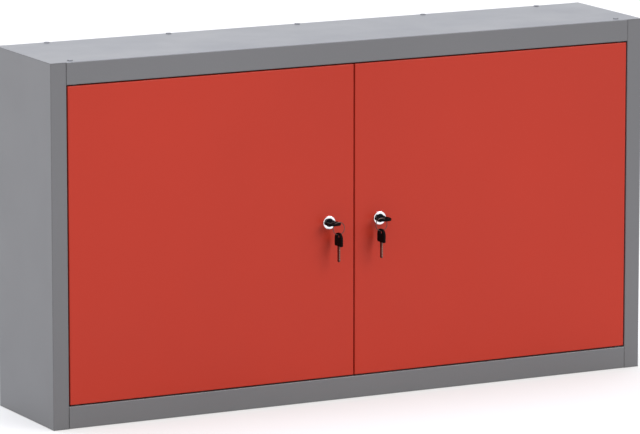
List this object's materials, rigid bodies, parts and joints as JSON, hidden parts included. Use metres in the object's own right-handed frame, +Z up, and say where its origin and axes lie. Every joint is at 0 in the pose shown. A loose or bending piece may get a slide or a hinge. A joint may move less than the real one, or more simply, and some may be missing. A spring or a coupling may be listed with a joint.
{
  "type": "tool cabinet with doors",
  "caption": "Wide shallow steel tool cabinet with a grey body and red inset doors, each with a cam lock; perforated tool panel inside, hangs on a wall or stands.",
  "frame": {"origin": "centre of the base's underside, on the surface that the cabinet stands on", "axes": "+Z up, the doors face -Y, the wall side is +Y, +X to the right seen from the front"},
  "size_m": [1.095, 0.248, 0.6015],
  "materials": {
    "grey_paint": "semi-gloss powder coat",
    "light_grey_paint": "semi-gloss powder coat",
    "red_paint": "semi-gloss powder coat",
    "zinc_steel": "bright zinc plated",
    "black_nylon": "moulded nylon, black",
    "black_rubber": "soft matt",
    "chrome": "bright chrome plated zinc",
    "black_plug": "black satin",
    "key_steel": "nickel plated, dulled",
    "ring_steel": "spring steel wire, dulled",
    "black_plastic": "moulded, semi-gloss"
  },
  "bodies": {
    "cabinet": {"left_side_panel": "grey_paint", "right_side_panel": "grey_paint", "top_panel": "grey_paint", "bottom_panel": "grey_paint", "back_panel": "grey_paint", "top_rivets": "grey_paint", "left_top_hinge_bracket": "grey_paint", "right_top_hinge_bracket": "grey_paint", "left_bottom_hinge_bracket": "grey_paint", "right_bottom_hinge_bracket": "grey_paint", "left_top_pivot_bush": "black_nylon", "right_top_pivot_bush": "black_nylon", "left_bottom_pivot_bush": "black_nylon", "right_bottom_pivot_bush": "black_nylon", "centre_post": "grey_paint", "door_bumpers": "black_rubber", "tool_panel": "light_grey_paint", "tool_panel_spacers": "zinc_steel", "tool_panel_screws": "zinc_steel"},
    "left_door": {"left_door_panel": "red_paint", "left_door_stiffener": "red_paint", "left_pivot_plates": "zinc_steel", "left_top_pivot_screw": "zinc_steel", "left_bottom_pivot_pin": "zinc_steel", "left_lock_housing": "chrome", "left_lock_nut": "zinc_steel"},
    "left_lock_core": {"left_lock_plug": "black_plug", "left_lock_cam": "zinc_steel", "left_cam_screw": "zinc_steel"},
    "left_key": {"left_key_blade": "key_steel", "left_key_bow": "black_plastic"},
    "left_ring": {"left_key_ring": "ring_steel"},
    "left_spare_key": {"left_spare_key_blade": "key_steel", "left_spare_key_bow": "black_plastic"},
    "right_door": {"right_door_panel": "red_paint", "right_door_stiffener": "red_paint", "right_pivot_plates": "zinc_steel", "right_top_pivot_screw": "zinc_steel", "right_bottom_pivot_pin": "zinc_steel", "right_lock_housing": "chrome", "right_lock_nut": "zinc_steel"},
    "right_lock_core": {"right_lock_plug": "black_plug", "right_lock_cam": "zinc_steel", "right_cam_screw": "zinc_steel"},
    "right_key": {"right_key_blade": "key_steel", "right_key_bow": "black_plastic"},
    "right_ring": {"right_key_ring": "ring_steel"},
    "right_spare_key": {"right_spare_key_blade": "key_steel", "right_spare_key_bow": "black_plastic"}
  },
  "joints": [
    {"name": "left_door_swing", "type": "hinge", "parent": "cabinet", "child": "left_door", "pos_m": [-0.5055, -0.1005, 0.3], "axis": [0, 0, -1], "range_deg": [0, 120]},
    {"name": "left_lock_turn", "type": "hinge", "parent": "left_door", "child": "left_lock_core", "pos_m": [-0.047, -0.1075, 0.3], "axis": [0, 1, 0], "range_deg": [0, 90]},
    {"name": "left_key_slide", "type": "slide", "parent": "left_lock_core", "child": "left_key", "axis": [0, -1, 0], "range_m": [0, 0.03]},
    {"name": "left_ring_turn", "type": "hinge", "parent": "left_key", "child": "left_ring", "pos_m": [-0.047, -0.1285, 0.3], "axis": [0, 1, 0], "range_deg": [-90, 0]},
    {"name": "left_spare_key_swing", "type": "hinge", "parent": "left_ring", "child": "left_spare_key", "pos_m": [-0.03965, -0.1285, 0.27955], "axis": [-1, 0, 0], "range_deg": [-20, 60]},
    {"name": "right_door_swing", "type": "hinge", "parent": "cabinet", "child": "right_door", "pos_m": [0.5055, -0.1005, 0.3], "axis": [0, 0, 1], "range_deg": [0, 120]},
    {"name": "right_lock_turn", "type": "hinge", "parent": "right_door", "child": "right_lock_core", "pos_m": [0.047, -0.1075, 0.3], "axis": [0, -1, 0], "range_deg": [0, 90]},
    {"name": "right_key_slide", "type": "slide", "parent": "right_lock_core", "child": "right_key", "axis": [0, -1, 0], "range_m": [0, 0.03]},
    {"name": "right_ring_turn", "type": "hinge", "parent": "right_key", "child": "right_ring", "pos_m": [0.047, -0.1285, 0.3], "axis": [0, -1, 0], "range_deg": [-90, 0]},
    {"name": "right_spare_key_swing", "type": "hinge", "parent": "right_ring", "child": "right_spare_key", "pos_m": [0.03965, -0.1285, 0.27955], "axis": [-1, 0, 0], "range_deg": [-20, 60]}
  ],
  "couplings": [
    {"joint": "left_ring_turn", "follows": "left_lock_turn", "ratio": -1},
    {"joint": "right_ring_turn", "follows": "right_lock_turn", "ratio": -1}
  ]
}
